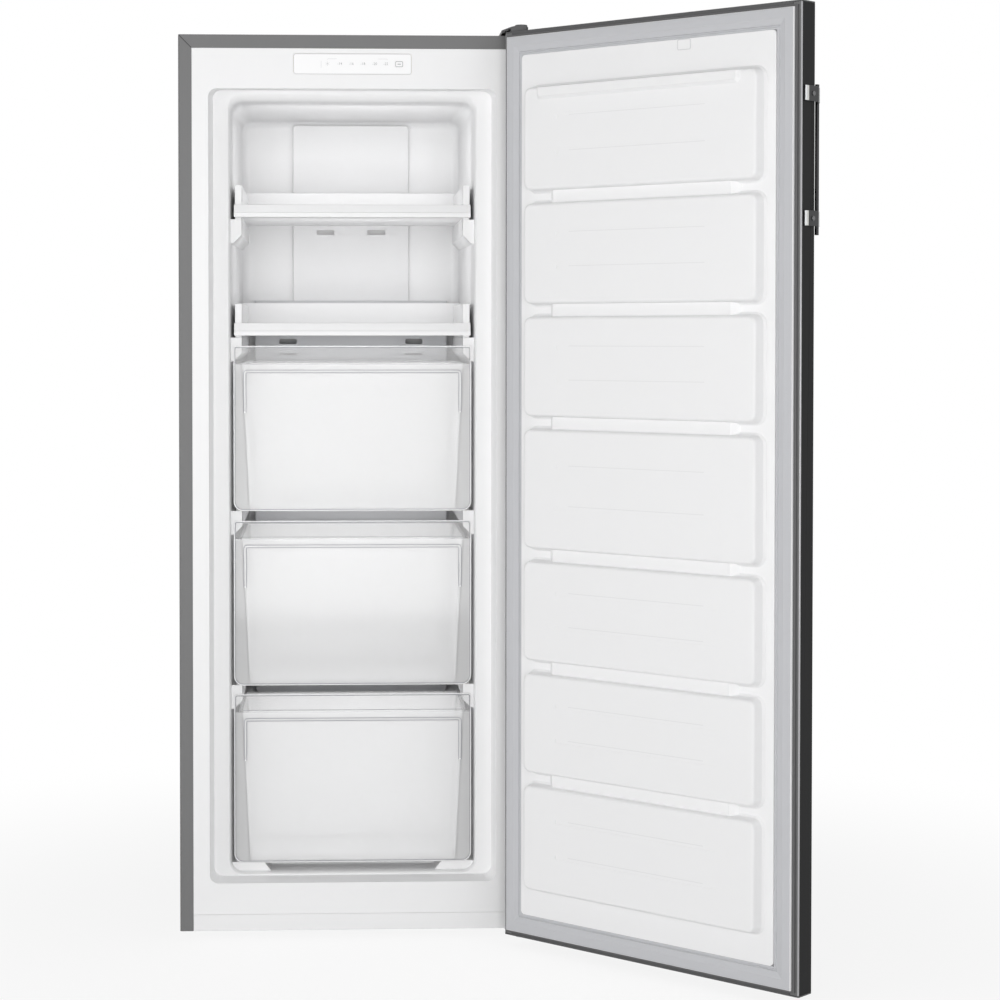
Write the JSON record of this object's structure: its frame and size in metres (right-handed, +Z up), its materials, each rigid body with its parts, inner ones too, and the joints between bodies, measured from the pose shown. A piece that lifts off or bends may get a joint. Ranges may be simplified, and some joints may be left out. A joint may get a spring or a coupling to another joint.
{
  "type": "upright freezer",
  "caption": "Tall narrow freezer cabinet with a hinged door, clear pull-out drawers, white tray shelves, a finned evaporator behind covers and a slim bar handle.",
  "frame": {"origin": "bottom centre of the whole object's box, door open, on the floor", "axes": "+X to the cabinet's right seen from the front, +Y from the front into the cabinet, +Z up"},
  "size_m": [0.9428, 0.9218, 1.4478],
  "materials": {
    "casing_grey": "satin painted sheet steel",
    "door_charcoal": "satin dark film on sheet steel",
    "liner_white": "vacuum-formed white plastic, soft gloss",
    "white_plastic": "moulded white plastic",
    "panel_white": "moulded white plastic, satin",
    "clear_plastic": "clear moulded plastic",
    "dark_plastic": "moulded dark plastic, fine grain",
    "gasket_grey": "soft grey-white gasket",
    "foam": "rigid foam",
    "zinc_steel": "zinc-plated steel",
    "handle_steel": "brushed metal",
    "screw_steel": "plated screws",
    "black_pot": "black enamel",
    "black_rubber": "moulded rubber",
    "black_plastic": "moulded plastic",
    "copper": "drawn copper",
    "aluminium": "plain aluminium",
    "board_green": "printed board",
    "bush_white": "self-lubricating plastic",
    "magnet_grey": "sintered magnet"
  },
  "bodies": {
    "cabinet": {"back_panel": "zinc_steel", "back_panel_screws": "screw_steel", "base_plate": "zinc_steel", "bay_wall": "zinc_steel", "bottom_hinge_bracket": "zinc_steel", "bottom_hinge_pin": "zinc_steel", "cabinet_foam": "foam", "compressor": "black_pot", "compressor_mounts": "black_rubber", "control_board": "board_green", "control_panel": "panel_white", "cord_gland": "black_plastic", "defrost_heater": "handle_steel", "drain_tube": "bush_white", "drip_tray": "black_plastic", "evaporator": "aluminium", "fan_motor": "zinc_steel", "fan_ring": "black_plastic", "filter_drier": "copper", "foot_inserts": "black_plastic", "hinge_screws": "screw_steel", "inner_liner": "liner_white", "lower_duct_cover": "white_plastic", "outer_casing": "casing_grey", "plinth_strip": "panel_white", "rear_spacers": "black_plastic", "refrigerant_pipes": "copper", "roller_axles": "screw_steel", "roller_brackets": "zinc_steel", "terminal_box": "black_plastic", "top_hinge_bracket": "zinc_steel", "top_hinge_cap": "dark_plastic", "top_hinge_pin": "zinc_steel", "upper_duct_cover": "white_plastic"},
    "upper_drawer": {"drawer_upper": "clear_plastic"},
    "middle_drawer": {"drawer_middle": "clear_plastic"},
    "lower_drawer": {"drawer_lower": "clear_plastic"},
    "upper_tray": {"tray_upper": "white_plastic"},
    "lower_tray": {"tray_lower": "white_plastic"},
    "button": {"set_button": "panel_white"},
    "fan": {"fan_blade": "black_plastic"},
    "left_foot": {"foot_left": "black_plastic"},
    "right_foot": {"foot_right": "black_plastic"},
    "left_roller": {"roller_left": "black_plastic"},
    "right_roller": {"roller_right": "black_plastic"},
    "door": {"door_bottom_cap": "dark_plastic", "door_foam": "foam", "door_gasket": "gasket_grey", "door_hinge_bushes": "bush_white", "door_liner": "liner_white", "door_magnet": "magnet_grey", "door_outer_shell": "door_charcoal", "door_top_cap": "dark_plastic", "handle_bar": "handle_steel", "handle_bracket_lower": "handle_steel", "handle_bracket_upper": "handle_steel", "handle_screws": "screw_steel"}
  },
  "joints": [
    {"name": "door_hinge", "type": "hinge", "parent": "cabinet", "child": "door", "pos_m": [0.06696, -0.06907, 0.72475], "axis": [0, 0, 1], "range_deg": [-135.66, 0]},
    {"name": "upper_drawer_slide", "type": "slide", "parent": "cabinet", "child": "upper_drawer", "axis": [0, -1, 0], "range_m": [0, 0.27]},
    {"name": "middle_drawer_slide", "type": "slide", "parent": "cabinet", "child": "middle_drawer", "axis": [0, -1, 0], "range_m": [0, 0.27]},
    {"name": "lower_drawer_slide", "type": "slide", "parent": "cabinet", "child": "lower_drawer", "axis": [0, -1, 0], "range_m": [0, 0.2]},
    {"name": "upper_tray_slide", "type": "slide", "parent": "cabinet", "child": "upper_tray", "axis": [0, -1, 0], "range_m": [0, 0.26]},
    {"name": "lower_tray_slide", "type": "slide", "parent": "cabinet", "child": "lower_tray", "axis": [0, -1, 0], "range_m": [0, 0.26]},
    {"name": "set_button_press", "type": "slide", "parent": "cabinet", "child": "button", "axis": [0, 1, 0], "range_m": [0, 0.0012], "stiffness_N_per_m": 300, "springref_m": -0.0005},
    {"name": "fan_spin", "type": "hinge", "parent": "cabinet", "child": "fan", "pos_m": [-0.19644, 0.33893, 0.966], "axis": [0, -1, 0], "continuous": true},
    {"name": "left_foot_screw", "type": "slide", "parent": "cabinet", "child": "left_foot", "axis": [0, 0, -1], "range_m": [0, 0.01]},
    {"name": "right_foot_screw", "type": "slide", "parent": "cabinet", "child": "right_foot", "axis": [0, 0, -1], "range_m": [0, 0.01]},
    {"name": "left_roller_axle", "type": "hinge", "parent": "cabinet", "child": "left_roller", "pos_m": [-0.40144, 0.40293, 0.014], "axis": [1, 0, 0], "continuous": true},
    {"name": "right_roller_axle", "type": "hinge", "parent": "cabinet", "child": "right_roller", "pos_m": [0.00856, 0.40293, 0.014], "axis": [1, 0, 0], "continuous": true}
  ]
}
